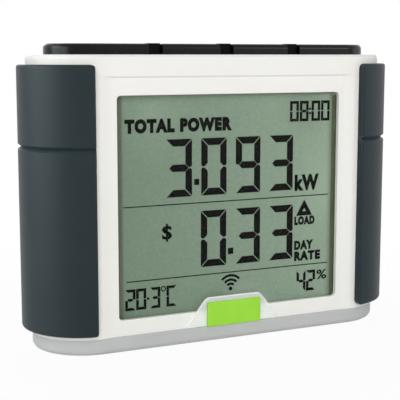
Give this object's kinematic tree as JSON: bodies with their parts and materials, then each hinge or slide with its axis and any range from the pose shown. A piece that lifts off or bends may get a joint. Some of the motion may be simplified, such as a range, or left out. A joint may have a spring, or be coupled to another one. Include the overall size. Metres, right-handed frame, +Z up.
{
  "type": "smart energy monitor",
  "caption": "Free-standing desk display for household power use: reflective screen in a rounded housing, press keys along the top, wrap-round side grips, a plinth and a rear battery bay.",
  "frame": {"origin": "on the floor, under the middle of the monitor", "axes": "+X to the right seen from the front, +Y to the back, +Z up"},
  "size_m": [0.14, 0.042, 0.1032],
  "materials": {
    "white_housing": "fine satin moulding",
    "grey_plinth": "satin",
    "dark_grip": "soft satin",
    "frosted_tab": "frosted clear",
    "green_badge": "printed",
    "clear_pane": "polished clear",
    "gasket": "matte foam",
    "display": "reflective liquid crystal",
    "reflector": "satin film",
    "holder": "as moulded",
    "contact_rubber": "matte",
    "circuit_board": "solder mask",
    "chip": "moulded epoxy",
    "module": "solder mask",
    "copper_wire": "enamelled",
    "bare_metal": "plated",
    "sensor": "as moulded",
    "black_bezel": "as moulded",
    "black_key": "semi-gloss",
    "switch_case": "as moulded",
    "plunger": "as moulded",
    "ribbon": "film",
    "cell_sleeve": "printed sleeve",
    "lead": "insulation",
    "foot_rubber": "matte"
  },
  "bodies": {
    "housing": {"front_cover": "white_housing", "rear_cover": "white_housing", "base_plinth": "grey_plinth", "left_grip": "dark_grip", "right_grip": "dark_grip", "badge_tab": "frosted_tab", "badge_plate": "green_badge", "window_lens": "clear_pane", "lcd_gasket": "gasket", "lcd_glass": "display", "lcd_reflector": "reflector", "lcd_holder": "holder", "zebra_strips": "contact_rubber", "main_board": "circuit_board", "key_board": "circuit_board", "processor_chip": "chip", "alarm_buzzer": "chip", "receiver_module": "module", "antenna_wire": "copper_wire", "clock_crystal": "bare_metal", "climate_sensor": "sensor", "key_bezel": "black_bezel", "switch_housings": "switch_case", "key_ribbon": "ribbon", "battery_cells": "cell_sleeve", "contact_leaves": "bare_metal", "contact_plates": "bare_metal", "battery_leads": "lead", "case_screws": "bare_metal", "base_screws": "bare_metal", "board_screws": "bare_metal", "rubber_feet": "foot_rubber"},
    "outer_left_key": {"outer_left_key": "black_key", "outer_left_plunger": "plunger"},
    "inner_left_key": {"inner_left_key": "black_key", "inner_left_plunger": "plunger"},
    "inner_right_key": {"inner_right_key": "black_key", "inner_right_plunger": "plunger"},
    "outer_right_key": {"outer_right_key": "black_key", "outer_right_plunger": "plunger"},
    "battery_door": {"battery_door": "white_housing"}
  },
  "joints": [
    {"name": "outer_left_press", "type": "slide", "parent": "housing", "child": "outer_left_key", "axis": [0, 0, -1], "range_m": [0, 0.0006], "stiffness_N_per_m": 2500},
    {"name": "inner_left_press", "type": "slide", "parent": "housing", "child": "inner_left_key", "axis": [0, 0, -1], "range_m": [0, 0.0006], "stiffness_N_per_m": 2500},
    {"name": "inner_right_press", "type": "slide", "parent": "housing", "child": "inner_right_key", "axis": [0, 0, -1], "range_m": [0, 0.0006], "stiffness_N_per_m": 2500},
    {"name": "outer_right_press", "type": "slide", "parent": "housing", "child": "outer_right_key", "axis": [0, 0, -1], "range_m": [0, 0.0006], "stiffness_N_per_m": 2500},
    {"name": "battery_door_hinge", "type": "hinge", "parent": "housing", "child": "battery_door", "pos_m": [0, 0.0171, 0.075], "axis": [1, 0, 0], "range_deg": [0, 90]}
  ]
}
